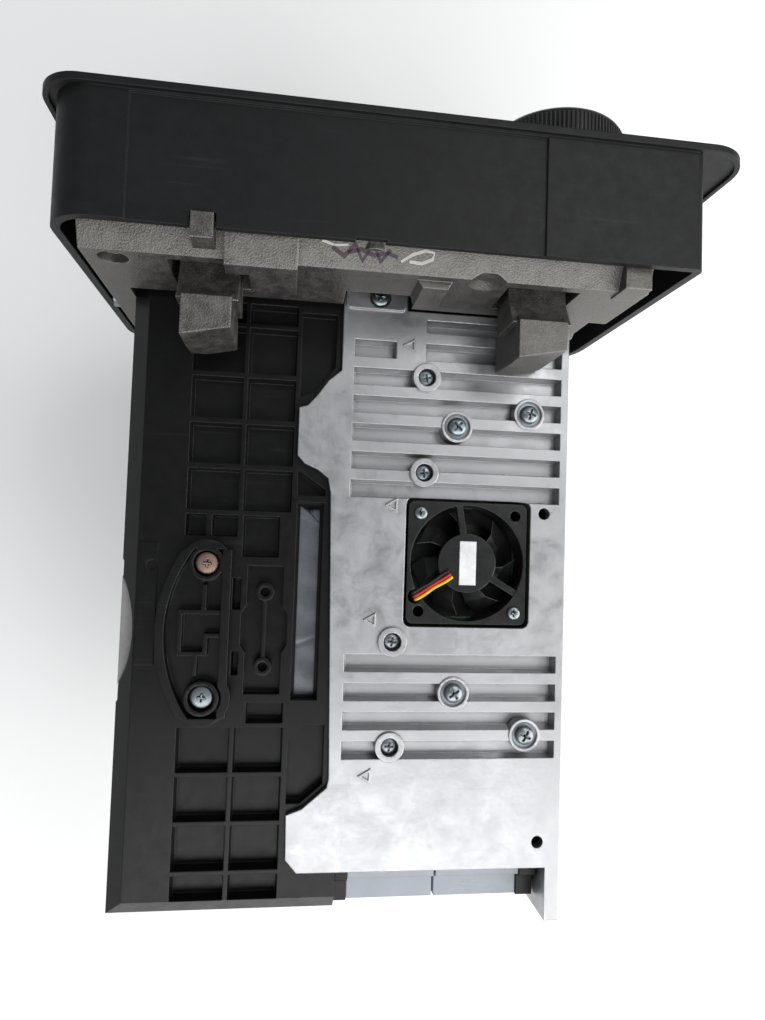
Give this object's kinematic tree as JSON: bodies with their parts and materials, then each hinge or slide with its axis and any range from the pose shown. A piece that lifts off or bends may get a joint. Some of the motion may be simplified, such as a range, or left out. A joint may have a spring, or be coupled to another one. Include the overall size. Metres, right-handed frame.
{
  "type": "bill validator",
  "caption": "Panel-mounted bill validator with knob-driven latch, finned heat-sink plate with cooling fan, ribbed housing, roller drive and swing-down note tray.",
  "frame": {"origin": "middle of the bezel's wall outline, in the plane of the flange's back face where the machine's panel sits", "axes": "+Z towards the heat-sink side, -Y out of the front of the bezel, +X towards the side that carries the release button"},
  "size_m": [0.2043, 0.2569, 0.1175],
  "materials": {
    "bezel_black": "fine moulded grain, near black",
    "mouth_black": "smooth moulded, near black",
    "clear_green": "clear light guide, faint green",
    "knob_black": "knurled rim, satin black",
    "grey_plastic": "light grey moulding",
    "shaft_steel": "turned, bright",
    "brass_bush": "turned, dull",
    "die_cast_grey": "rough zinc die-casting, sandy grey",
    "zinc_screw": "zinc plated, slightly worn",
    "copper_screw": "copper plated",
    "cast_aluminium": "die-cast, mottled and worn",
    "housing_black": "moulded, satin near black",
    "path_plastic": "smooth, slightly glossy",
    "flex_blue": "flexible circuit film, grey blue",
    "fan_black": "moulded black",
    "label_white": "paper label, off-white, blank",
    "circuit_board": "green solder mask",
    "chip_black": "moulded package",
    "sensor_clear": "dark red clear bar",
    "connector_plastic": "natural moulded plastic",
    "clear_blue": "clear prism, blue grey",
    "motor_can": "plated can",
    "gear_white": "natural acetal",
    "belt_rubber": null,
    "roller_rubber": "dark grip rubber",
    "lead_sleeve": "insulated lead"
  },
  "bodies": {
    "frame": {"front_bezel": "bezel_black", "mouth_insert": "mouth_black", "mouth_light_guide": "clear_green", "status_lens": "clear_green", "inlet_guide_upper": "mouth_black", "inlet_guide_lower": "mouth_black", "shutter_bearings": "mouth_black", "knob_bush": "brass_bush", "latch_guide_screws": "zinc_screw", "mounting_bracket": "die_cast_grey", "bracket_screws": "zinc_screw", "body_screws": "zinc_screw", "heat_sink_plate": "cast_aluminium", "pan_screws": "zinc_screw", "deep_screws": "zinc_screw", "tab_screw": "zinc_screw", "upper_housing": "housing_black", "upper_path_plate": "path_plastic", "rear_frame": "housing_black", "tray_hinge_pin": "shaft_steel", "side_foot": "housing_black", "foot_screw_copper": "copper_screw", "foot_screw_steel": "zinc_screw", "flex_strip": "flex_blue", "fan_frame": "fan_black", "fan_label": "label_white", "fan_screws": "zinc_screw", "main_board": "circuit_board", "board_chips": "chip_black", "upper_sensor_board": "circuit_board", "upper_sensor_lens": "sensor_clear", "rear_connector": "connector_plastic", "rear_light_guide": "clear_blue", "light_guide_caps": "housing_black", "drive_motor": "motor_can", "gear_plate": "shaft_steel", "shaft_bushes": "brass_bush", "timing_belt": "belt_rubber", "encoder_sensor": "chip_black", "fan_leads": "lead_sleeve"},
    "knob": {"knurled_knob": "knob_black", "knob_shaft": "shaft_steel", "latch_pinion": "shaft_steel"},
    "latch": {"latch_slide": "die_cast_grey"},
    "fan_wheel": {"fan_rotor": "fan_black"},
    "rear_drive": {"rear_drive_shaft": "shaft_steel", "rear_drive_rollers": "roller_rubber", "rear_shaft_gear": "gear_white"},
    "front_drive": {"front_drive_shaft": "shaft_steel", "front_drive_rollers": "roller_rubber"},
    "first_gear": {"first_reduction_gear": "gear_white"},
    "second_gear": {"second_reduction_gear": "gear_white"},
    "motor_rotor": {"motor_pinion": "brass_bush"},
    "tray": {"path_tray": "housing_black", "lower_sensor_board": "circuit_board", "lower_sensor_lens": "sensor_clear"},
    "front_idler_wheel": {"front_idler": "gear_white"},
    "rear_idler_wheel": {"rear_idler": "gear_white"},
    "button": {"release_button": "grey_plastic"},
    "shutter": {"inlet_shutter": "grey_plastic"}
  },
  "joints": [
    {"name": "latch_lift", "type": "slide", "parent": "frame", "child": "latch", "axis": [0, 0, 1], "range_m": [0, 0.00502]},
    {"name": "knob_turn", "type": "hinge", "parent": "frame", "child": "knob", "pos_m": [-0.057, 0, 0.027], "axis": [0, -1, 0], "range_deg": [0, 45]},
    {"name": "fan_spin", "type": "hinge", "parent": "frame", "child": "fan_wheel", "pos_m": [-0.0335, 0.1232, 0], "axis": [0, 0, 1], "continuous": true},
    {"name": "rear_drive_turn", "type": "hinge", "parent": "frame", "child": "rear_drive", "pos_m": [0, 0.168, -0.0048], "axis": [1, 0, 0], "continuous": true},
    {"name": "front_drive_turn", "type": "hinge", "parent": "frame", "child": "front_drive", "pos_m": [0, 0.072, -0.0048], "axis": [1, 0, 0], "continuous": true},
    {"name": "first_gear_turn", "type": "hinge", "parent": "frame", "child": "first_gear", "pos_m": [0.064, 0.18048, -0.0012], "axis": [1, 0, 0], "continuous": true},
    {"name": "second_gear_turn", "type": "hinge", "parent": "frame", "child": "second_gear", "pos_m": [0.068, 0.19343, -0.00017], "axis": [1, 0, 0], "continuous": true},
    {"name": "motor_turn", "type": "hinge", "parent": "frame", "child": "motor_rotor", "pos_m": [0.068, 0.20642, -0.00017], "axis": [1, 0, 0], "continuous": true},
    {"name": "tray_swing", "type": "hinge", "parent": "frame", "child": "tray", "pos_m": [0, 0.2335, -0.038], "axis": [1, 0, 0], "range_deg": [0, 30]},
    {"name": "front_idler_turn", "type": "hinge", "parent": "tray", "child": "front_idler_wheel", "pos_m": [0, 0.072, -0.0188], "axis": [1, 0, 0], "continuous": true},
    {"name": "rear_idler_turn", "type": "hinge", "parent": "tray", "child": "rear_idler_wheel", "pos_m": [0, 0.168, -0.0188], "axis": [1, 0, 0], "continuous": true},
    {"name": "button_push", "type": "slide", "parent": "frame", "child": "button", "axis": [-1, 0, 0], "range_m": [0, 0.0022], "stiffness_N_per_m": 600, "springref_m": -0.001},
    {"name": "shutter_swing", "type": "hinge", "parent": "frame", "child": "shutter", "pos_m": [0, 0.03, -0.0076], "axis": [1, 0, 0], "range_deg": [0, 50], "stiffness_Nm_per_rad": 0.01, "springref_deg": -11.46}
  ],
  "couplings": [
    {"joint": "knob_turn", "follows": "latch_lift", "rad_per_m": 156.25},
    {"joint": "front_drive_turn", "follows": "rear_drive_turn", "ratio": 1},
    {"joint": "first_gear_turn", "follows": "rear_drive_turn", "ratio": -1.8462},
    {"joint": "second_gear_turn", "follows": "rear_drive_turn", "ratio": 3.4083},
    {"joint": "motor_turn", "follows": "rear_drive_turn", "ratio": -6.2922}
  ]
}
